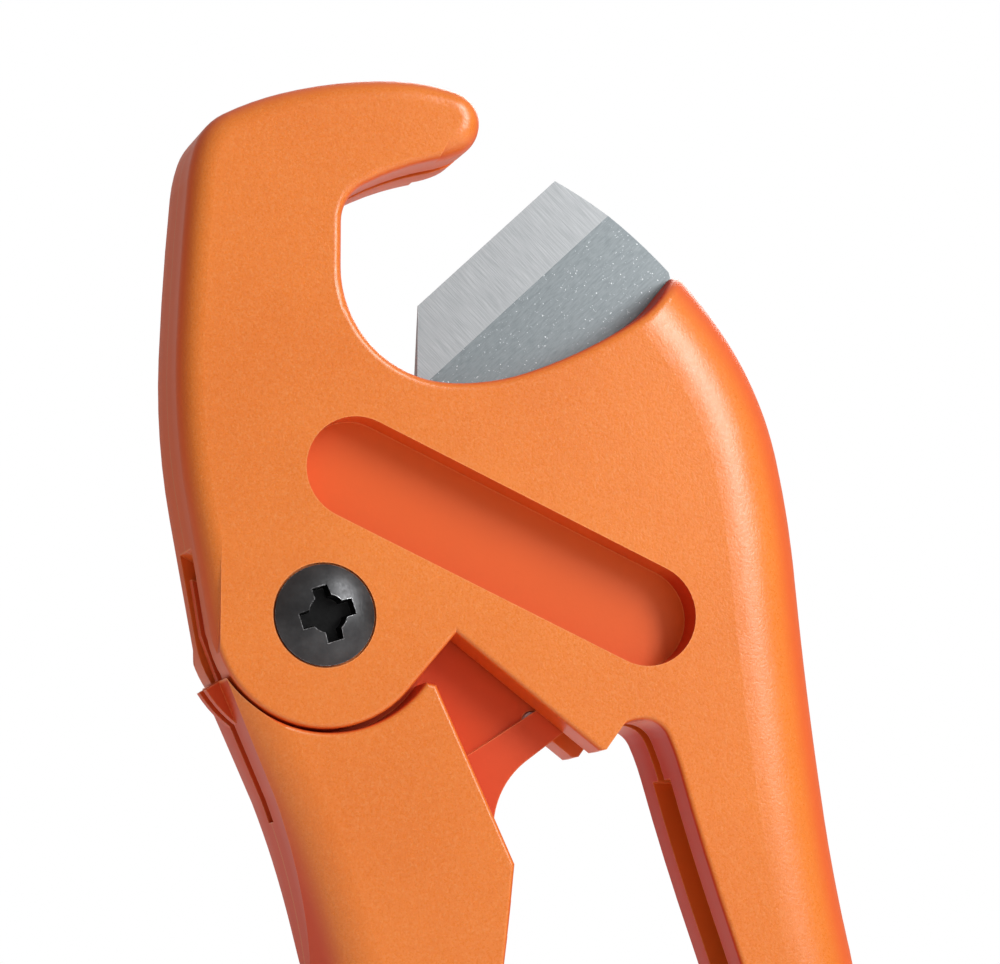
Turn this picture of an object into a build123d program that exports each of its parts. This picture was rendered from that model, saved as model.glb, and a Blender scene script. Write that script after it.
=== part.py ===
from build123d import *
import os
from math import cos, radians, sin

# Ratchet cutter for plastic pipe, standing upright with its jaw at the top.
# +X runs from the lever to the fixed handle, +Z up, and -Y to the front.
# The pivot axis is parallel to Y and meets the flat rear face at the origin.
# Every profile is drawn as seen from the front: x is X and y is Z.

# ---- driving dimensions, millimetres and degrees -------------------------
body_thick = 26.0        # rear face to front face
seam = body_thick / 2    # joint face of the two halves, in front of the rear face
pipe_dia = 42.2          # largest pipe that the jaw takes
jaw_clear = 0.6          # room around that pipe in the jaw
jaw_x, jaw_z = 24.7, 67.7
rim_radius = 102.9       # arc of the head's outer corner, about the pivot
boss_radius = 21.5       # round boss of the shells about the pivot
edge_round = 1.0         # moulded edges of the faces
jaw_round = 1.8          # edges of the jaw and the lower lip
back_round = 4.5         # edges of the column and of the back of the hook
palm_wide = 17.0         # oval rounding along the palm side of the body: across the face
palm_deep = 12.0         # and toward the seam
grip_round = 11.5        # rounding along the palm side of the lever
wall = 4.0               # moulded wall beside the hollow
hollow_half = 6.6        # hollow of one shell, from the seam
shaft_clear = 0.05       # radial running clearance

pocket_left = (6.2, 28.4)    # long recess in each face: its two end centres
pocket_right = (64.0, 2.1)
pocket_radius = 10.0
pocket_depth = 7.0
pocket_wall = 1.6

blade_thick = 3.0
blade_slot = 1.9         # half width of the blade's slot in the shells
blade_reach = 102.6      # pivot to blade tip
edge_bevel = 12.2        # width of the ground bevel
tooth_crest = 38.0       # ratchet quadrant of the blade
tooth_depth = 2.6
tooth_pitch = 5.5        # degrees
pawl_lift = 0.12         # gap between a pawl's tip and the tooth crests
pawl_thick = 2.8

web_half = 4.2           # half thickness of the lever's web
web_slot = 2.0           # half width of the blade's slot inside the lever
rim_half = 5.1           # half thickness of the web's raised rim
lever_slot = 5.4         # half width of the lever's slot in the shells
shoulder_radius = 22.2   # lever's shoulder about the pivot

barrel_radius = 6.0      # pivot sleeve
flange_radius = 9.0
flange_thick = 2.2
head_radius = 9.65       # pivot screw's domed head
head_high = 3.2          # dome above the front face
head_recess = 1.0
shank_radius = 3.0
screw_radius = 1.5       # shell and lever screws
screw_head = 2.9
screw_sunk = 3.0         # counterbore of a screw's head in the rear face
screw_socket = 9.0       # screw holes in the front halves, from the seam
lever_hollow = 8.6
recess_width = 3.4       # cross recess of the pivot screw
recess_depth = 3.4
pin_radius = 2.0

os.makedirs("parts", exist_ok=True)


def depth(d):
    """Drawing plane at distance d in front of the rear face."""
    return Plane.XZ.offset(d)


def polar(radius, angle):
    """Point at a radius and angle about the pivot."""
    return (radius * cos(radians(angle)), radius * sin(radians(angle)))


def arc_chain(direction, *points):
    """Arcs that run on smoothly through the points, from a starting direction in degrees."""
    tangent = (cos(radians(direction)), sin(radians(direction)))
    for start, end in zip(points, points[1:]):
        arc = TangentArc(start, end, tangent=tangent)
        tangent = arc % 1


# ---- outline of the body, shared by both shells --------------------------
boss_left = polar(boss_radius, 191.0)
boss_right = polar(boss_radius, -40.0)
column_low = (boss_left[0] - 24.7 * sin(radians(11)), boss_left[1] + 24.7 * cos(radians(11)))
hook_tip = (22.3, 89.9)
back_points = (column_low, (-28.4, 51.6), (-26.6, 83.5), (-25.2, 90.4), (-19.9, 96.8), (-8.7, 101.6),
               (14.0, 105.6), (26.5, 104.2), (31.2, 98.3), (27.2, 91.6), hook_tip)
jaw_radius = pipe_dia / 2 + jaw_clear
jaw_low = (jaw_x, jaw_z - jaw_radius)
jaw_left = (jaw_x - jaw_radius, jaw_z)
jaw_top = (jaw_x - jaw_radius, jaw_z + 8.8)
head_corner = polar(rim_radius, 44.4)
rim_end = polar(rim_radius, 36.0)
arch_left = (59.0, -19.6)
notch_apex = (boss_right[0] + 14.6 * cos(radians(50)), boss_right[1] + 14.6 * sin(radians(50)))
grip_in = (89.5, -120.0)
grip_out = (110.6, -120.0)
palm_points = (rim_end, (94.6, 35.2), (98.3, 11.2), (104.0, -36.3), (108.5, -59.8), (112.4, -88.0), grip_out)

with BuildSketch() as body_outline:
    with BuildLine():
        Line(boss_left, column_low)
        arc_chain(101.0, *back_points)
        Line(jaw_left, jaw_top)
        arc_chain(90.0, jaw_top, (7.3, 83.9), hook_tip)
        RadiusArc(jaw_left, jaw_low, -jaw_radius)
        arc_chain(0.0, jaw_low, (40.4, 48.8), (62.9, 60.5), (68.3, 65.6), head_corner)
        RadiusArc(head_corner, rim_end, rim_radius)
        arc_chain(-54.0, *palm_points)
        ThreePointArc(grip_out, (100.0, -127.6), grip_in)
        arc_chain(82.0, grip_in, (86.5, -77.0), (80.9, -59.6), (70.7, -28.0), (68.2, -21.3), (63.3, -18.2),
                  arch_left)
        Polyline(arch_left, (55.7, -24.2), (54.4, -24.4), notch_apex, boss_right)
        RadiusArc(boss_right, boss_left, boss_radius)
    make_face()


# ---- rounded blocks: each gives one long edge of the body its own radius --
def front_edge(part, x, z):
    """The edge of the front face nearest to a point of it."""
    face = part.faces().filter_by(Axis.Y).sort_by(Axis.Y)[0]
    return face.edges().sort_by(lambda edge: edge.distance_to(Vertex(x, -body_thick, z)))[0]


corner_run = 30.0        # straight run-on past the head's outer corner
past_corner = (head_corner[0] - corner_run * sin(radians(44.4)),
               head_corner[1] + corner_run * cos(radians(44.4)))
below_grip = (105.0, -142.0)
squeeze = palm_deep / palm_wide

# A round edge on a thicker block, squeezed in Y, gives the oval rounding.
with BuildPart() as palm_block:
    with BuildSketch(Plane.XZ):
        with BuildLine():
            Line(past_corner, head_corner)
            RadiusArc(head_corner, rim_end, rim_radius)
            arc_chain(-54.0, *palm_points, below_grip)
            Polyline(below_grip, (-60.0, -142.0), (-60.0, 120.0), (past_corner[0], 120.0), past_corner)
        make_face()
    extrude(amount=seam / squeeze)
    fillet(front_edge(palm_block.part, 102.0, -24.0), palm_wide)
oval_block = Pos(0, -seam, 0) * scale(palm_block.part, by=(1, squeeze, 1))

below_column = (column_low[0] + 30 * sin(radians(11)), column_low[1] - 30 * cos(radians(11)))

with BuildPart() as back_block:
    with BuildSketch(depth(seam)):
        with BuildLine():
            Line(below_column, column_low)
            arc_chain(101.0, *back_points)
            Polyline(hook_tip, (20.0, 85.0), (20.0, 75.0), (130.0, 75.0), (130.0, -150.0),
                     (below_column[0], -150.0), below_column)
        make_face()
    extrude(amount=seam)
    fillet(front_edge(back_block.part, -27.5, 51.0), back_round)


# ---- sketches that several pieces share -----------------------------------
def sector(radius, start, end):
    """Pie slice about the pivot, drawn into the open sketch."""
    with BuildLine() as sides:
        Line((0, 0), polar(radius, start))
        ThreePointArc(polar(radius, start), polar(radius, (start + end) / 2), polar(radius, end))
        Line(polar(radius, end), (0, 0))
    make_face(sides.edges())


def stadium(start, end, radius):
    """Slot between two end centres, drawn into the open sketch."""
    SlotCenterPoint(((start[0] + end[0]) / 2, (start[1] + end[1]) / 2), end, 2 * radius)


shell_posts = [(-15.0, 82.0), (-16.0, 36.0), (61.5, -11.5), (84.0, -10.0), (89.0, -38.0), (95.5, -118.0)]
post_radius = 3.6
hold_pin = polar(47.0, 7.0)      # holding pawl's pin
latch_pin_at = (97.0, -106.0)
hold_tip = polar(tooth_crest + pawl_lift, 17.0)

# The blade sweeps from just inside the lower lip to just inside the hook.
with BuildSketch() as blade_room:
    sector(blade_reach + 0.8, 44.0, 84.0)
    sector(96.0, 80.0, 88.0)
    sector(80.0, 80.0, 95.0)
    sector(rim_radius + 2.0, 16.0, 46.0)
    sector(rim_radius - 6.5, -25.0, 20.0)
    Circle(boss_radius - wall)

# The lever's web comes in from the left side round to the notch.
with BuildSketch() as web_room:
    sector(boss_radius + 6.0, 152.0, 338.0)
    Polygon((12.0, -22.0), (20.0, 4.0), (27.0, 7.5), (59.0, -18.6), (55.0, -30.0), (38.0, -34.0), align=None)

with BuildSketch() as hollow_outline:
    add(body_outline.sketch_local)
    offset(amount=-wall)

with BuildSketch() as grip_channel:
    Polygon((69.0, -29.0), (80.0, -29.0), (91.0, -60.0), (97.0, -88.0), (96.5, -118.0), (86.0, -118.0),
            (85.0, -88.0), (77.0, -60.0), align=None)

# ---- shells -----------------------------------------------------------------
jaw_edges = [(8.6, 53.8)]
boss_edges = [(40.1, -13.4), (0.0, -21.5)]
grip_edges = [(89.0, -100.0)]

with BuildPart() as shell_blank:
    with BuildSketch(depth(seam)):
        add(body_outline.sketch_local)
    extrude(amount=seam)
    add(oval_block, mode=Mode.INTERSECT)
    add(back_block.part, mode=Mode.INTERSECT)
    for places, radius in ((jaw_edges, jaw_round), (boss_edges, edge_round), (grip_edges, edge_round)):
        fillet([front_edge(shell_blank.part, x, z) for x, z in places], radius)
    with BuildSketch(depth(seam)):
        add(hollow_outline.sketch_local)
    extrude(amount=hollow_half, mode=Mode.SUBTRACT)
    # floor and wall of the long recess, seen from inside
    with BuildSketch(depth(body_thick - pocket_depth - pocket_wall)):
        stadium(pocket_left, pocket_right, pocket_radius + pocket_wall)
    extrude(amount=pocket_depth + pocket_wall - 0.5)
    with BuildSketch(depth(body_thick)):
        stadium(pocket_left, pocket_right, pocket_radius)
    extrude(amount=-pocket_depth, mode=Mode.SUBTRACT)
    # bearing boss about the pivot and posts for the shell screws
    with BuildSketch(depth(seam + web_half + 0.2)):
        Circle(barrel_radius + 2.5)
    extrude(amount=seam - web_half - 2.0)
    with BuildSketch(depth(seam)):
        with Locations(*shell_posts):
            Circle(post_radius)
    extrude(amount=hollow_half + 1.0)
    # rooms for the blade, the web and the channel in the grip
    with BuildSketch(depth(seam)):
        add(blade_room.sketch_local)
        with Locations(*shell_posts):
            Circle(post_radius, mode=Mode.SUBTRACT)
    extrude(amount=blade_slot, mode=Mode.SUBTRACT)
    with BuildSketch(depth(seam)):
        add(web_room.sketch_local)
        with Locations(shell_posts[2]):
            Circle(post_radius, mode=Mode.SUBTRACT)
    extrude(amount=lever_slot, mode=Mode.SUBTRACT)
    with BuildSketch(depth(seam)):
        add(grip_channel.sketch_local)
        with Locations(*shell_posts[4:]):
            Circle(post_radius, mode=Mode.SUBTRACT)
    extrude(amount=lever_slot, mode=Mode.SUBTRACT)
    # spacer boss and blind socket for the holding pawl's pin
    with BuildSketch(depth(seam + pawl_thick / 2 + 0.2)):
        with Locations(hold_pin):
            Circle(pin_radius + 1.4)
    extrude(amount=web_half)
    with BuildSketch(depth(seam)):
        with Locations(hold_pin):
            Circle(pin_radius + shaft_clear)
    extrude(amount=lever_slot + 0.1, mode=Mode.SUBTRACT)
    # bosses and sockets for the lock latch's pin
    with BuildSketch(depth(seam + 2.6)):
        with Locations(latch_pin_at):
            Circle(post_radius)
    extrude(amount=hollow_half)
    with BuildSketch(depth(seam)):
        with Locations(latch_pin_at):
            Circle(pin_radius + shaft_clear)
    extrude(amount=screw_socket + 0.1, mode=Mode.SUBTRACT)
    # bore of the pivot sleeve
    with BuildSketch(depth(seam)):
        Circle(barrel_radius + shaft_clear)
    extrude(amount=seam, mode=Mode.SUBTRACT)


with BuildPart() as front_shell:
    add(shell_blank.part)
    with BuildSketch(depth(body_thick)):
        Circle(head_radius + 0.4)
    extrude(amount=-head_recess, mode=Mode.SUBTRACT)
    with BuildSketch(depth(seam)):
        with Locations(*shell_posts):
            Circle(screw_radius + shaft_clear)
    extrude(amount=screw_socket, mode=Mode.SUBTRACT)
front_shell.part.label = "front_shell"

with BuildPart() as rear_shell:
    mirror(shell_blank.part, about=depth(seam))
    with BuildSketch(depth(0)):
        Circle(flange_radius + 0.2)
    extrude(amount=flange_thick + 0.1, mode=Mode.SUBTRACT)
    with BuildSketch(depth(0)):
        with Locations(*shell_posts):
            Circle(screw_radius + shaft_clear)
    extrude(amount=seam, mode=Mode.SUBTRACT)
    with BuildSketch(depth(0)):
        with Locations(*shell_posts):
            Circle(screw_head + 0.3)
    extrude(amount=screw_sunk, mode=Mode.SUBTRACT)
rear_shell.part.label = "rear_shell"

# ---- screws that hold the shells, driven from the rear -----------------------
def screw(bottom, top, places):
    """Pan head screws with a cross recess: heads at the bottom depth, points at the top."""
    head = 2.2
    with BuildSketch(depth(bottom)) as heads:
        with Locations(*places):
            Circle(screw_head)
    extrude(heads.sketch, amount=head)
    fillet(edges().filter_by(GeomType.CIRCLE).group_by(Axis.Y)[-1], 0.8)
    with BuildSketch(depth(bottom + head)) as shanks:
        with Locations(*places):
            Circle(screw_radius)
    extrude(shanks.sketch, amount=top - bottom - head)
    with BuildSketch(depth(bottom)) as crosses:
        with Locations(*places):
            Rectangle(3.2, 0.8)
            Rectangle(0.8, 3.2)
    extrude(crosses.sketch, amount=1.3, mode=Mode.SUBTRACT)


with BuildPart() as shell_screws:
    screw(0.7, seam + 8.0, shell_posts)
shell_screws.part.label = "shell_screws"

# ---- pivot: sleeve from the rear, domed screw from the front ------------------
with BuildPart() as pivot_barrel:
    with BuildSketch(depth(0)):
        Circle(flange_radius)
    extrude(amount=flange_thick)
    with BuildSketch(depth(flange_thick)):
        Circle(barrel_radius)
    extrude(amount=body_thick - head_recess - flange_thick)
    with BuildSketch(depth(body_thick - head_recess)):
        Circle(shank_radius + shaft_clear)
    extrude(amount=-18.0, mode=Mode.SUBTRACT)
    with BuildSketch(depth(0)):
        with Locations((-5.0, 0.0), (5.0, 0.0)):
            Circle(1.2)
    extrude(amount=1.4, mode=Mode.SUBTRACT)
pivot_barrel.part.label = "pivot_barrel"

cross_turn = 18.0
with BuildPart() as pivot_screw:
    with BuildSketch(depth(body_thick - head_recess)):
        Circle(head_radius)
    extrude(amount=head_recess + head_high)
    dome_radius = (head_radius ** 2 + head_high ** 2) / (2 * head_high)
    with Locations((0, dome_radius - body_thick - head_high, 0)):
        Sphere(dome_radius, mode=Mode.INTERSECT)
    with BuildSketch(depth(body_thick - head_recess + 0.5)):
        Circle(shank_radius)
    extrude(amount=-17.5)
    with BuildSketch(depth(body_thick + head_high)):
        for turn in (cross_turn, cross_turn + 90):
            Rectangle(11.0, recess_width, rotation=turn)
        Circle(1.1 * recess_width)
    extrude(amount=-recess_depth, taper=8.0, mode=Mode.SUBTRACT)
pivot_screw.part.label = "pivot_screw"

with BuildPart() as blade_washers:
    for start in (seam + blade_thick / 2 + 0.06, seam - web_slot + 0.04):
        with BuildSketch(depth(start)):
            Circle(11.0)
            Circle(barrel_radius + shaft_clear, mode=Mode.SUBTRACT)
        extrude(amount=web_slot - blade_thick / 2 - 0.1)
blade_washers.part.label = "blade_washers"

# ---- blade with its ratchet quadrant -----------------------------------------
heel = (21.3, 63.1)
tip = polar(blade_reach, 61.2)
blade_corner = polar(blade_reach, 44.9)
root = tooth_crest - tooth_depth


def tooth(angle):
    """One saw tooth: steep toward the lever's side, drawn into the open sketch."""
    Polygon(polar(root - 1.0, angle), polar(tooth_crest, angle), polar(tooth_crest, angle + 0.8),
            polar(root - 0.05, angle + tooth_pitch * 0.93), polar(root - 1.0, angle + tooth_pitch * 0.93),
            align=None)


with BuildPart() as cutting_blade:
    with BuildSketch(depth(seam - blade_thick / 2)):
        Circle(14.0)
        sector(root, -45.0, 62.0)
        for i in range(16):
            tooth(-44.0 + i * tooth_pitch)
        with BuildLine() as plate:
            Polyline((0, 0), (20.5, 30.0), heel, tip)
            ThreePointArc(tip, polar(blade_reach, 53.0), blade_corner)
            Polyline(blade_corner, polar(93.0, 32.0), polar(52.0, 38.0), polar(37.0, 45.0), (0, 0))
        make_face(plate.edges())
        Circle(barrel_radius + shaft_clear, mode=Mode.SUBTRACT)
    extrude(amount=blade_thick)
    edge_long = (Vector(*tip) - Vector(*heel)).length
    for side in (-1, 0):
        flat = cutting_blade.faces().filter_by(Axis.Y).sort_by(Axis.Y)[side]
        ground = flat.edges().filter_by(lambda edge: abs(edge.length - edge_long) < 0.01)
        chamfer(ground, edge_bevel, blade_thick / 2 - 0.15, reference=flat)
cutting_blade.part.label = "cutting_blade"

# ---- lever ---------------------------------------------------------------------
shoulder_left = polar(shoulder_radius, 213.5)
shoulder_right = polar(23.4, -31.4)
lever_end_left = (5.0, -124.0)
lever_end_right = (28.2, -122.0)
knuckle = (37.5, -46.4)
drive_pin = polar(47.0, -23.0)
drive_tip = polar(tooth_crest + pawl_lift, -12.0)
catch_pin = (25.0, -106.0)
lever_posts = [polar(28.0, 258.0), (29.5, -46.5), (11.0, -64.0), (16.6, -122.5)]

with BuildSketch() as lever_outline:
    with BuildLine():
        ThreePointArc(shoulder_left, polar(shoulder_radius, 270.0), shoulder_right)
        Polyline(shoulder_right, (22.0, -12.6), knuckle)
        arc_chain(-95.0, knuckle, (33.4, -80.0), lever_end_right)
        ThreePointArc(lever_end_right, (16.6, -127.6), lever_end_left)
        arc_chain(88.9, lever_end_left, (3.9, -98.0), (-0.5, -64.6), (-8.8, -34.2))
        Line((-8.8, -34.2), shoulder_left)
    make_face()

# The palm side's rounding runs out toward the shoulder.
with BuildPart() as lever_palm:
    with BuildSketch(depth(seam)):
        with BuildLine():
            arc_chain(-58.0, (-27.5, -8.0), (-9.6, -41.4), (-0.9, -64.6), (3.8, -98.0), (4.9, -124.0),
                      (5.0, -150.0))
            Polyline((5.0, -150.0), (80.0, -150.0), (80.0, 40.0), (-40.0, 40.0), (-27.5, -8.0))
        make_face()
    extrude(amount=seam)
    fillet(front_edge(lever_palm.part, 0.0, -80.0), grip_round)

with BuildSketch() as web_outline:
    Circle(17.0)
    Polygon((0.0, 0.0), polar(24.0, 161.0), polar(21.0, 188.0), polar(21.0, 215.0), align=None)
    sector(shoulder_radius + 3.0, 213.5, 329.0)
    with BuildLine() as arm:
        Line((0, 0), polar(17.0, 62.0))
        Polyline(polar(17.0, 62.0), (24.0, 5.2), (51.0, -13.2))
        ThreePointArc((51.0, -13.2), (53.4, -16.6), (50.8, -19.4))
        Line((50.8, -19.4), (41.6, -26.4))
        ThreePointArc((41.6, -26.4), (37.5, -31.2), (35.4, -38.0))
        Polyline((35.4, -38.0), (20.0, -38.0), (0, 0))
    make_face(arm.edges())

with BuildSketch() as rim_outline:
    with BuildLine() as rim:
        Polyline((20.0, -38.0), (24.0, -29.2), (32.2, -24.0), (46.6, -14.6))
        ThreePointArc((46.6, -14.6), (50.2, -16.6), (50.8, -19.4))
        Line((50.8, -19.4), (41.6, -26.4))
        ThreePointArc((41.6, -26.4), (37.5, -31.2), (35.4, -38.0))
        Line((35.4, -38.0), (20.0, -38.0))
    make_face(rim.edges())

with BuildPart() as lever_blank:
    with BuildSketch(depth(seam)):
        add(lever_outline.sketch_local)
    extrude(amount=seam)
    fillet([front_edge(lever_blank.part, x, z) for x, z in
            [(0.0, -22.5), (20.8, -12.4), (30.0, -29.0), (36.0, -65.0), (16.6, -127.6)]], edge_round)
    add(lever_palm.part, mode=Mode.INTERSECT)
    with BuildSketch(depth(seam)):
        Polygon((2.6, -54.0), (29.5, -54.0), (28.6, -80.0), (24.4, -118.0), (10.6, -118.0), (8.8, -98.0),
                (4.9, -70.0), align=None)
    extrude(amount=lever_hollow, mode=Mode.SUBTRACT)
    with BuildSketch(depth(seam)):
        add(web_outline.sketch_local)
    extrude(amount=web_half)
    with BuildSketch(depth(seam)):
        add(rim_outline.sketch_local)
    extrude(amount=rim_half)
    with BuildSketch(depth(seam)):
        with Locations(lever_posts[2], catch_pin):
            Circle(post_radius)
    extrude(amount=lever_hollow + 0.4)
    # room for the blade's quadrant, the drive pawl and its spring
    with BuildSketch(depth(seam)):
        Circle(39.2)
        stadium(drive_pin, drive_tip, 3.5)
        stadium((43.0, -14.0), (47.6, -13.6), 1.7)
        with Locations(lever_posts[0]):
            Circle(post_radius, mode=Mode.SUBTRACT)
    extrude(amount=web_slot, mode=Mode.SUBTRACT)
    # mouth for the lock latch, and the sockets of the two pins
    with BuildSketch(depth(seam)):
        Polygon((18.5, -114.0), (36.0, -114.0), (36.0, -76.0), (18.5, -76.0), align=None)
    extrude(amount=2.8, mode=Mode.SUBTRACT)
    with BuildSketch(depth(seam)):
        with Locations(drive_pin):
            Circle(pin_radius + shaft_clear)
    extrude(amount=web_half + 0.4, mode=Mode.SUBTRACT)
    with BuildSketch(depth(seam)):
        with Locations(catch_pin):
            Circle(screw_radius + shaft_clear)
    extrude(amount=7.0, mode=Mode.SUBTRACT)
    with BuildSketch(depth(seam)):
        Circle(barrel_radius + shaft_clear)
    extrude(amount=seam, mode=Mode.SUBTRACT)

with BuildPart() as lever_front_half:
    add(lever_blank.part)
    with BuildSketch(depth(seam)):
        with Locations(*lever_posts):
            Circle(screw_radius + shaft_clear)
    extrude(amount=screw_socket, mode=Mode.SUBTRACT)
lever_front_half.part.label = "lever_front_half"

with BuildPart() as lever_rear_half:
    mirror(lever_blank.part, about=depth(seam))
    with BuildSketch(depth(0)):
        with Locations(*lever_posts):
            Circle(screw_radius + shaft_clear)
    extrude(amount=seam, mode=Mode.SUBTRACT)
    with BuildSketch(depth(0)):
        with Locations(*lever_posts):
            Circle(screw_head + 0.3)
    extrude(amount=screw_sunk, mode=Mode.SUBTRACT)
lever_rear_half.part.label = "lever_rear_half"

with BuildPart() as lever_screws:
    screw(0.7, seam + 8.0, lever_posts)
lever_screws.part.label = "lever_screws"


# ---- pawls, their pins and springs ----------------------------------------------
def pawl(pin, point, beak):
    """Wedge from a round eye to a narrow beak, in the blade's plane."""
    with BuildSketch(depth(seam - pawl_thick / 2)) as plate:
        with BuildLine() as wedge:
            Polyline(pin, (pin[0] + beak[0], pin[1] + beak[1]), point, (pin[0] - beak[0], pin[1] - beak[1]), pin)
        make_face(wedge.edges())
        with Locations(pin):
            Circle(3.0)
            Circle(pin_radius + shaft_clear, mode=Mode.SUBTRACT)
    extrude(plate.sketch, amount=pawl_thick)


def pin_at(place, radius, half):
    """Round pin through the seam."""
    with BuildSketch(depth(seam - half)) as disc:
        with Locations(place):
            Circle(radius)
    extrude(disc.sketch, amount=2 * half)
    chamfer(edges().filter_by(GeomType.CIRCLE), 0.25)


def coil(start, along, radius, pitch, height, wire):
    """Coil of round wire from a starting centre."""
    with BuildLine() as helix:
        Helix(pitch=pitch, height=height, radius=radius, center=start, direction=along)
    with BuildSketch(Plane(origin=helix.edge() @ 0, z_dir=helix.edge() % 0)) as section:
        Circle(wire)
    sweep(section.sketch, path=helix.edge())


with BuildPart() as drive_pawl:
    pawl(drive_pin, drive_tip, (2.4, 1.6))
drive_pawl.part.label = "drive_pawl"

with BuildPart() as drive_pawl_pin:
    pin_at(drive_pin, pin_radius, web_half + 0.3)
drive_pawl_pin.part.label = "drive_pawl_pin"

with BuildPart() as drive_pawl_spring:
    coil((43.6, -seam, -13.9), (1.0, 0.0, 0.06), 1.0, 0.95, 4.2, 0.2)
drive_pawl_spring.part.label = "drive_pawl_spring"

with BuildPart() as holding_pawl:
    pawl(hold_pin, hold_tip, (1.4, 2.6))
holding_pawl.part.label = "holding_pawl"

with BuildPart() as holding_pawl_pin:
    pin_at(hold_pin, pin_radius, lever_slot)
holding_pawl_pin.part.label = "holding_pawl_pin"

with BuildPart() as holding_pawl_spring:
    coil((hold_pin[0], -(seam + 2.0), hold_pin[1]), (0.0, -1.0, 0.0), 4.0, 0.7, 1.6, 0.22)
holding_pawl_spring.part.label = "holding_pawl_spring"

with BuildPart() as lever_return_spring:
    coil((0.0, -(seam + 4.7), 0.0), (0.0, -1.0, 0.0), 10.2, 0.9, 1.35, 0.4)
lever_return_spring.part.label = "lever_return_spring"

with BuildPart() as blade_return_spring:
    coil((0.0, -(seam - 4.7), 0.0), (0.0, 1.0, 0.0), 10.2, 0.9, 1.35, 0.4)
blade_return_spring.part.label = "blade_return_spring"

# ---- lock latch in the fixed grip -------------------------------------------------
latch_lean = 97.0        # direction of the stowed latch
latch_reach = 54.3       # latch pin to catch pin
latch_half = 2.4


def on_latch(along, across):
    """Point of the stowed latch, from its own pin."""
    direction = radians(latch_lean)
    return (latch_pin_at[0] + along * cos(direction) - across * sin(direction),
            latch_pin_at[1] + along * sin(direction) + across * cos(direction))


with BuildPart() as lock_latch:
    with BuildSketch(depth(seam - latch_half)):
        Polygon(on_latch(0, -4.2), on_latch(latch_reach + 3.4, -4.2), on_latch(latch_reach + 5.0, -2.4),
                on_latch(latch_reach + 4.4, 1.4), on_latch(latch_reach + 1.9, 3.4),
                on_latch(latch_reach + 1.9, -1.9), on_latch(latch_reach - 1.9, -1.9),
                on_latch(latch_reach - 1.9, 2.6), on_latch(0, 4.2), align=None)
        with Locations(latch_pin_at):
            Circle(4.2)
            Circle(pin_radius + shaft_clear, mode=Mode.SUBTRACT)
    extrude(amount=2 * latch_half)
lock_latch.part.label = "lock_latch"

with BuildPart() as latch_pin:
    pin_at(latch_pin_at, pin_radius, screw_socket)
latch_pin.part.label = "latch_pin"

with BuildPart() as latch_catch_pin:
    pin_at(catch_pin, screw_radius, 6.6)
latch_catch_pin.part.label = "latch_catch_pin"

# ---- one STEP file for each piece ---------------------------------------------------
for piece in (front_shell, rear_shell, shell_screws, pivot_barrel, pivot_screw, blade_washers, cutting_blade,
              lever_front_half, lever_rear_half, lever_screws, drive_pawl, drive_pawl_pin, drive_pawl_spring,
              holding_pawl, holding_pawl_pin, holding_pawl_spring, lever_return_spring, blade_return_spring,
              lock_latch, latch_pin, latch_catch_pin):
    export_step(piece.part, "parts/" + piece.part.label + ".step")
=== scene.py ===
from math import cos, radians, sin

import bpy
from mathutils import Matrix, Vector


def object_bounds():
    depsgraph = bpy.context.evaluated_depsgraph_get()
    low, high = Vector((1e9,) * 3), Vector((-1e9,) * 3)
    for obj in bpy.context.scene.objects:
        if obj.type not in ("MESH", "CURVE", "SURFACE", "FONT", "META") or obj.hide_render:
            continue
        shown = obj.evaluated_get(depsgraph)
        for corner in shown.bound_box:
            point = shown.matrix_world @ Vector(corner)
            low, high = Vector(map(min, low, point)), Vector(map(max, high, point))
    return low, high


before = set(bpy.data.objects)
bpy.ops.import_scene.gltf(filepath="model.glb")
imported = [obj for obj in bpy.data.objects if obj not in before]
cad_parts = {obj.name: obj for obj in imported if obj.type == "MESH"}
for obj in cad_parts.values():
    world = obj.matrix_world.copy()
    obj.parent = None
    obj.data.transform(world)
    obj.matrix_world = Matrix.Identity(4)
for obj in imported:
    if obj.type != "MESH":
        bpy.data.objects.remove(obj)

CAD_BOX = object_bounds()
MM = 0.001

# ---- camera ----
IMAGE_WIDTH = 1000                        # pixels
SENSOR_WIDTH = 36.0                       # mm
PIVOT_FRONT = Vector((0, -26, 0)) * MM    # where the pivot axis meets the front face
CAMERA_DISTANCE = 0.740                   # from that point, metres
CAMERA_FROM = (-13.3, -6.6)               # azimuth and elevation of the camera seen from that point
CAMERA_BACK = (-15.880, -8.556)           # azimuth and elevation opposite to its line of sight
CAMERA_FOCAL = 3907.2                     # pixels
CLIP_NEAR, CLIP_FAR = 0.01, 20.0

# ---- light ----
WHITE = (1.0, 1.0, 1.0)
WARM = (1.0, 0.60, 0.50)
AMBIENT = 0.09
# soft lobes of the surroundings: azimuth and elevation, brightness, sharpness and colour of each
LOBES = [
    ((5, 10), 0.30, 2.0, WHITE),
    ((-110, 40), 0.22, 1.5, WARM),
    ((140, 25), 0.26, 2.0, WHITE),
    ((0, 85), 0.20, 1.5, WHITE),
    ((168, 18), 0.55, 14.0, WHITE),
]
LIGHT_AIM = Vector((0.03, -0.013, 0.0))   # metres
# softboxes: azimuth, elevation, distance and size in metres, power in watts
SOFTBOXES = {
    "key": (41, 28, 0.95, (0.30, 0.70), 7.6),
    "back": (150, 35, 1.2, (0.5, 0.5), 5.0),
}

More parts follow.
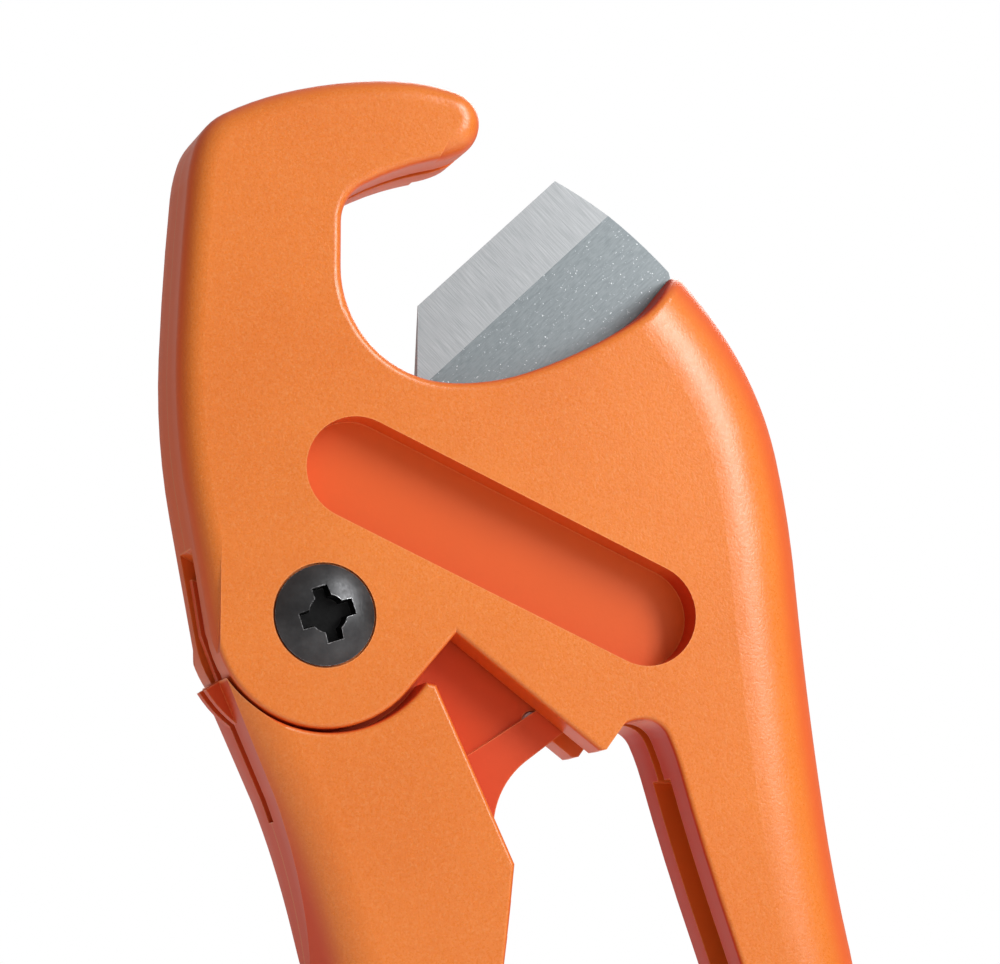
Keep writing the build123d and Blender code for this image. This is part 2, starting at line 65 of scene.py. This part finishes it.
# ---- places on the object that the materials follow ----
SEAM_Y = -13 * MM                          # plane where the two halves meet
FACE_FROM, FACE_TO = 7.5 * MM, 11.5 * MM   # distance from the seam where inner surfaces, in painted shade, give way to faces
GLOSS_FROM, GLOSS_TO = 4 * MM, 9 * MM      # distance from the seam over which the gloss grows
GRIP_FROM, GRIP_TO = 52 * MM, 60 * MM      # X where the fixed grip's inner side, with its painted shade, begins
DOME_TOP, DOME_RADIUS = -29.2 * MM, 16.15 * MM   # front of the pivot screw and the radius of its dome
SUNK_FROM, SUNK_TO = 0.05 * MM, 0.5 * MM   # depth under the dome over which painted shade fills the screw's recess
RECESS_OUTER, RECESS_INNER = 6.6 * MM, 6.2 * MM  # radius at which the recess's painted shade ends
EDGE_SLOPE = radians(43.6)                 # lean of the cutting edge above the horizontal
LIPS_FROM, LIPS_TO = 0.45 * MM, 0.15 * MM  # distance from the seam over which a painted highlight grows on its lips
GAP_FROM, GAP_TO = 0.16 * MM, 0.04 * MM    # and over which its gap grows dark
PLASTIC_HIGHLIGHT_WIDTH, STEEL_EDGE_WIDTH = 0.5 * MM, 0.35 * MM   # width of the painted highlight on plastic edges and of the pale steel edges

# ---- noise scales, cells per metre ----
GRAIN, SPECKLE, CLOUD = 1700.0, 2600.0, 26.0       # orange plastic: relief, specks, slow change of colour
FINE, SATIN, BLOTCH = 1500.0, 1800.0, 260.0        # other plastics and dark steel, bright steel, oxide
LINE_STEP, LINE_LENGTH = 5200.0, 160.0             # grinding lines of the bevel: across them and along them
ROLL_STEP, ROLL_LENGTH = 2600.0, 500.0             # rolling marks of the blade's plate
BLADE_SPECK = 1900.0


# ---- helpers ----
def direction(azimuth, elevation):
    """Unit vector toward a viewer at that azimuth and elevation."""
    a, e = radians(azimuth), radians(elevation)
    return Vector((sin(a) * cos(e), -cos(a) * cos(e), sin(e)))


def look(back):
    """Orientation of a camera or a lamp that looks along minus back."""
    return (-back).to_track_quat("-Z", "Y").to_matrix().to_4x4()


def rgb(r, g, b):
    """Linear colour from 8-bit sRGB."""
    def line(v):
        v /= 255
        return v / 12.92 if v <= 0.04045 else ((v + 0.055) / 1.055) ** 2.4
    return (line(r), line(g), line(b), 1)


def scaled(colour, *factors):
    """A colour multiplied by one factor, or by three, one for each channel."""
    if len(factors) == 1:
        factors *= 3
    return tuple(k * v for k, v in zip(factors, colour)) + (1,)


class Nodes:
    """Short way to write a shader tree: most calls make a node, set its inputs and return an output."""

    def __init__(self, tree):
        self.tree = tree

    def put(self, socket, value):
        if isinstance(value, bpy.types.NodeSocket):
            self.tree.links.new(value, socket)
        elif isinstance(value, bpy.types.Node):
            self.tree.links.new(value.outputs[0], socket)
        else:
            socket.default_value = value

    def node(self, kind, settings=None, **inputs):
        made = self.tree.nodes.new("ShaderNode" + kind)
        for key, value in (settings or {}).items():
            setattr(made, key, value)
        for key, value in inputs.items():
            self.put(made.inputs[key.replace("_", " ")], value)
        return made

    def math(self, operation, a, b=0.0):
        made = self.node("Math", {"operation": operation})
        self.put(made.inputs[0], a)
        self.put(made.inputs[1], b)
        return made.outputs[0]

    def plus(self, a, b):
        return self.math("ADD", a, b)

    def minus(self, a, b):
        return self.math("SUBTRACT", a, b)

    def times(self, a, b):
        return self.math("MULTIPLY", a, b)

    def size(self, a):
        return self.math("ABSOLUTE", a)

    def dot(self, a, b):
        made = self.node("VectorMath", {"operation": "DOT_PRODUCT"})
        self.put(made.inputs[0], a)
        self.put(made.inputs[1], b)
        return made.outputs["Value"]

    def mix(self, factor, a, b, kind="MIX"):
        """Colour mix; the sockets of a Mix node's colours are numbers 6 and 7, and its result is 2."""
        made = self.node("Mix", {"data_type": "RGBA", "blend_type": kind})
        self.put(made.inputs[0], factor)
        self.put(made.inputs[6], a)
        self.put(made.inputs[7], b)
        return made.outputs[2]

    def ramp(self, value, low, high, from_value=0.0, to_value=1.0, kind="LINEAR"):
        """Takes low..high to from_value..to_value and holds the ends."""
        made = self.node("MapRange", {"clamp": True, "interpolation_type": kind})
        for socket, given in zip(made.inputs, (value, low, high, from_value, to_value)):
            self.put(socket, given)
        return made.outputs[0]

    def noise(self, vector, scale, detail=2.0, roughness=0.5):
        made = self.node("TexNoise", Vector=vector, Scale=scale, Detail=detail, Roughness=roughness)
        return made.outputs["Fac"]

    def stretched(self, x, x_scale, y, y_scale):
        """Noise whose cells are stretched along two coordinates."""
        place = self.node("CombineXYZ", X=self.times(x, x_scale), Y=self.times(y, y_scale))
        return self.noise(place.outputs[0], 1.0, 3.0, 0.6)

    def normal(self):
        return self.node("NewGeometry").outputs["Normal"]

    def edge(self, radius, low=0.02, high=0.25):
        """1 on sharp edges, fading to 0 at that radius away from them."""
        soft = self.node("Bevel", {"samples": 4}, Radius=radius)
        return self.ramp(self.minus(1.0, self.dot(soft.outputs[0], self.normal())), low, high)

    def split(self, vector):
        return self.node("SeparateXYZ", Vector=vector).outputs


# ---- colours ----
BLACK = (0, 0, 0, 1)
FACE_LOW, FACE_HIGH = rgb(222, 116, 32), rgb(228, 123, 38)
SPECK_LIGHT, SPECK_DARK = rgb(240, 165, 104), rgb(208, 92, 20)
# the seam's lips get a painted highlight; its gap is a dark joint
SEAM_LIPS_HIGHLIGHT, SEAM_GAP = rgb(240, 150, 90), rgb(90, 22, 8)
# painted highlight for the plastic's edges
PLASTIC_EDGE_HIGHLIGHT = rgb(255, 176, 112)
# deeper colours, painted shade for inner surfaces and sides
SHELL_INNER_SHADE, LEVER_INNER_SHADE = rgb(222, 92, 26), rgb(212, 72, 28)
OXIDE_LOW, OXIDE_HIGH = (0.050, 0.050, 0.052, 1), (0.085, 0.086, 0.088, 1)
# pale edges of the steel, and painted shade that makes the screw's recess near black
OXIDE_EDGE, RECESS_SHADE = (0.75, 0.76, 0.78, 1), (0.004, 0.004, 0.004, 1)
PLATE_LOW, PLATE_HIGH = (0.19, 0.215, 0.226, 1), (0.245, 0.27, 0.281, 1)
PLATE_SPECK = (0.85, 0.88, 0.9, 1)
BEVEL_LOW, BEVEL_HIGH = (0.39, 0.412, 0.426, 1), (0.56, 0.575, 0.588, 1)
WASHER_COLOUR, LATCH_COLOUR = (0.75, 0.75, 0.7, 1), (0.02, 0.02, 0.022, 1)
FLOOR_COLOUR, FLOOR_ROUGH, FLOOR_SIDE = (0.9, 0.9, 0.9, 1), 0.9, 6.0


# ---- camera, lights and surroundings ----
def make_camera():
    data = bpy.data.cameras.new("camera")
    data.sensor_width = SENSOR_WIDTH
    data.lens = CAMERA_FOCAL / IMAGE_WIDTH * SENSOR_WIDTH
    data.clip_start, data.clip_end = CLIP_NEAR, CLIP_FAR
    camera = bpy.data.objects.new("camera", data)
    bpy.context.collection.objects.link(camera)
    camera.matrix_world = look(direction(*CAMERA_BACK))
    camera.location = PIVOT_FRONT + direction(*CAMERA_FROM) * CAMERA_DISTANCE
    bpy.context.scene.camera = camera


def softbox(name, azimuth, elevation, distance, size, power):
    data = bpy.data.lights.new(name, "AREA")
    data.shape = "RECTANGLE"
    data.size, data.size_y = size
    data.energy = power
    lamp = bpy.data.objects.new(name, data)
    bpy.context.collection.objects.link(lamp)
    back = direction(azimuth, elevation)
    lamp.matrix_world = look(back)
    lamp.location = LIGHT_AIM + back * distance


def make_world():
    """Lobes of light from around; the camera itself sees plain white behind the object."""
    world = bpy.data.worlds.new("studio")
    world.use_nodes = True
    bpy.context.scene.world = world
    world.node_tree.nodes.clear()
    n = Nodes(world.node_tree)
    place = n.node("TexCoord").outputs["Generated"]
    total = n.node("RGB").outputs[0]
    total.default_value = scaled(WHITE, AMBIENT)
    for toward, bright, sharp, colour in LOBES:
        facing = n.math("POWER", n.math("MAXIMUM", n.dot(place, direction(*toward)), 0.0), sharp)
        lobe = n.mix(facing, BLACK, scaled(colour, bright))
        total = n.mix(1.0, total, lobe, "ADD")
    light = n.node("Background", Color=total, Strength=1.0)
    seen = n.node("Background", Color=(1, 1, 1, 1), Strength=1.0)
    mix = n.node("MixShader")
    n.put(mix.inputs[0], n.node("LightPath").outputs["Is Camera Ray"])
    n.put(mix.inputs[1], light)
    n.put(mix.inputs[2], seen)
    n.node("OutputWorld", Surface=mix)


# ---- materials ----
def material(name):
    """A new material with its tree, its shader and the coordinates of the object's frame."""
    made = bpy.data.materials.new(name)
    made.use_nodes = True
    made.node_tree.nodes.clear()
    n = Nodes(made.node_tree)
    shader = n.node("BsdfPrincipled")
    n.node("OutputMaterial", Surface=shader)
    return made, n, shader, n.node("TexCoord").outputs["Object"]


def finish(n, shader, colour, rough, bump_strength, bump_depth, height, metallic=0.0):
    """Sets what every material has: colour, roughness, metal and a fine relief."""
    n.put(shader.inputs["Base Color"], colour)
    n.put(shader.inputs["Roughness"], rough)
    n.put(shader.inputs["Metallic"], metallic)
    bump = n.node("Bump", Strength=bump_strength, Distance=bump_depth, Height=height)
    n.put(shader.inputs["Normal"], bump)


def orange_plastic(name, inner_shade, inner_rough):
    """Moulded plastic: grained on the faces, smooth near the seam and in the recesses; these and the sides
    that face neither front nor back get a deeper colour as painted shade.
    """
    made, n, shader, place = material(name)
    grain = n.noise(place, GRAIN, 2.0, 0.6)
    speckle = n.noise(place, SPECKLE, 3.0, 0.65)
    cloud = n.noise(place, CLOUD, 3.0, 0.5)

    # masks: distance from the seam, outer faces (everything else gets painted shade), and the side of the
    # fixed grip that faces the lever
    from_seam = n.size(n.minus(n.split(place)["Y"], SEAM_Y))
    normal = n.split(n.normal())
    square = n.ramp(n.size(normal["Y"]), 0.45, 0.88)
    face = n.times(n.ramp(from_seam, FACE_FROM, FACE_TO, kind="SMOOTHSTEP"), square)
    grip_shade = n.times(n.ramp(n.split(place)["X"], GRIP_FROM, GRIP_TO), n.ramp(normal["X"], -0.3, -0.7))

    # the faces, with light and dark specks
    colour = n.mix(n.ramp(cloud, 0.35, 0.65), FACE_LOW, FACE_HIGH)
    colour = n.mix(n.ramp(speckle, 0.50, 0.78, 0.0, 0.45), colour, SPECK_LIGHT)
    colour = n.mix(n.ramp(speckle, 0.44, 0.24, 0.0, 0.40), colour, SPECK_DARK)
    # the inner surfaces and the sides: a deeper colour as painted shade
    deep_shade = n.mix(n.ramp(cloud, 0.3, 0.7, 0.0, 0.3), inner_shade, scaled(inner_shade, 0.85))
    # darker painted shade on the grip's side that faces the lever
    deep_shade = n.mix(grip_shade, deep_shade, scaled(inner_shade, 0.75, 0.35, 0.6))
    colour = n.mix(face, deep_shade, colour)
    # the seam: a dark gap, with a painted highlight on its lips
    lip_highlight = n.ramp(from_seam, LIPS_FROM, LIPS_TO)
    gap = n.ramp(from_seam, GAP_FROM, GAP_TO)
    colour = n.mix(n.times(lip_highlight, 0.35), colour, SEAM_LIPS_HIGHLIGHT)
    colour = n.mix(n.times(gap, 0.7), colour, SEAM_GAP)
    # a painted highlight along the edges
    colour = n.mix(n.times(n.edge(PLASTIC_HIGHLIGHT_WIDTH), 0.45), colour, PLASTIC_EDGE_HIGHLIGHT)

    face_rough = n.times(n.ramp(grain, 0.3, 0.7, 0.24, 0.34), face)
    rough = n.plus(face_rough, n.times(inner_rough, n.minus(1.0, face)))
    gloss = n.ramp(from_seam, GLOSS_FROM, GLOSS_TO, 0.2, 0.6)
    n.put(shader.inputs["Specular IOR Level"], n.times(gloss, n.ramp(grip_shade, 0.0, 1.0, 1.0, 0.3)))
    n.put(shader.inputs["IOR"], 1.49)
    finish(n, shader, colour, rough,
           n.ramp(face, 0.0, 1.0, 0.10, 0.34), 0.12 * MM, n.plus(grain, n.times(speckle, 0.6)))
    return made


def plain_plastic(name, colour, rough):
    made, n, shader, place = material(name)
    fine = n.noise(place, FINE, 3.0, 0.6)
    finish(n, shader, n.mix(fine, colour, scaled(colour, 0.8)), n.ramp(fine, 0.3, 0.7, rough, rough + 0.12),
           0.25, 0.1 * MM, fine)
    return made


def dark_steel():
    """Blackened steel with pale edges in patches, and painted shade that makes the pivot screw's recess near
    black.
    """
    made, n, shader, place = material("black_oxide_steel")
    x, y, z = (n.split(place)[axis] for axis in "XYZ")
    # painted shade in the recess: under the dome's surface and near its axis
    out = n.plus(n.times(x, x), n.times(z, z))
    dome = n.plus(DOME_TOP, n.math("DIVIDE", out, 2 * DOME_RADIUS))
    recess_shade = n.times(n.ramp(n.minus(y, dome), SUNK_FROM, SUNK_TO),
                   n.ramp(out, RECESS_OUTER ** 2, RECESS_INNER ** 2))
    fine = n.noise(place, FINE, 4.0, 0.6)
    blotch = n.noise(place, BLOTCH, 4.0, 0.6)
    colour = n.mix(n.ramp(blotch, 0.3, 0.7), OXIDE_LOW, OXIDE_HIGH)
    # pale edges of the steel, in patches
    pale_edge = n.times(n.edge(STEEL_EDGE_WIDTH, 0.04, 0.3), n.ramp(fine, 0.42, 0.62))
    colour = n.mix(pale_edge, colour, OXIDE_EDGE)
    # painted shade makes the recess near black
    colour = n.mix(n.times(recess_shade, 0.9), colour, RECESS_SHADE)
    finish(n, shader, colour, n.ramp(fine, 0.3, 0.7, 0.30, 0.46),
           0.25, 0.1 * MM, n.plus(fine, blotch), metallic=0.85)
    return made


def satin_steel(base, rough):
    made, n, shader, place = material("satin_steel")
    fine = n.noise(place, SATIN, 4.0, 0.6)
    bright = (base, base, base, 1)
    colour = n.mix(fine, scaled(bright, 0.85, 0.87, 0.9), bright)
    finish(n, shader, colour, n.ramp(fine, 0.3, 0.7, rough, rough + 0.15),
           0.15, 0.06 * MM, fine, metallic=1.0)
    return made


def blade_steel():
    """Satin plate with a stone-ground bevel whose fine lines run square to the edge."""
    made, n, shader, place = material("blade_steel")
    x, _, z = (n.split(place)[axis] for axis in "XYZ")
    rise, run = sin(EDGE_SLOPE), cos(EDGE_SLOPE)
    along = n.plus(n.times(x, run), n.times(z, rise))
    across = n.minus(n.times(z, run), n.times(x, rise))
    lines = n.stretched(along, LINE_STEP, across, LINE_LENGTH)
    rolled = n.stretched(along, ROLL_LENGTH, across, ROLL_STEP)
    speck = n.noise(place, BLADE_SPECK, 2.0, 0.7)
    ground = n.ramp(n.dot(n.normal(), (-rise, 0, run)), 0.04, 0.08)
    plate = n.mix(n.ramp(rolled, 0.3, 0.7), PLATE_LOW, PLATE_HIGH)
    plate = n.mix(n.ramp(speck, 0.66, 0.76), plate, PLATE_SPECK)
    bevel = n.mix(n.ramp(lines, 0.3, 0.7), BEVEL_LOW, BEVEL_HIGH)
    relief = n.mix(ground, rolled, lines)
    finish(n, shader, n.mix(ground, plate, bevel), n.plus(0.33, n.times(relief, 0.14)),
           0.22, 0.06 * MM, relief, metallic=1.0)
    return made


def paint_pieces():
    shell = orange_plastic("orange_shell_plastic", SHELL_INNER_SHADE, 0.40)
    lever = orange_plastic("orange_lever_plastic", LEVER_INNER_SHADE, 0.42)
    dark = dark_steel()
    steel = satin_steel(0.55, 0.3)
    finishes = {
        "front_shell": shell, "rear_shell": shell, "lever_front_half": lever, "lever_rear_half": lever,
        "shell_screws": dark, "lever_screws": dark, "pivot_screw": dark, "pivot_barrel": dark,
        "cutting_blade": blade_steel(),
        "blade_washers": plain_plastic("washer_plastic", WASHER_COLOUR, 0.45),
        "lock_latch": plain_plastic("latch_plastic", LATCH_COLOUR, 0.45),
    }
    for name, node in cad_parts.items():
        node.data.materials.clear()
        node.data.materials.append(finishes.get(name, steel))


def make_floor():
    bpy.ops.mesh.primitive_plane_add(size=FLOOR_SIDE, location=(0, 0, CAD_BOX[0].z))
    floor = bpy.context.object
    floor.name = "floor"
    made, n, shader, _ = material("pale_floor")
    n.put(shader.inputs["Base Color"], FLOOR_COLOUR)
    n.put(shader.inputs["Roughness"], FLOOR_ROUGH)
    floor.data.materials.append(made)


paint_pieces()
make_floor()
make_world()
for box, settings in SOFTBOXES.items():
    softbox(box, *settings)
make_camera()
bpy.context.scene.view_settings.view_transform = "Standard"
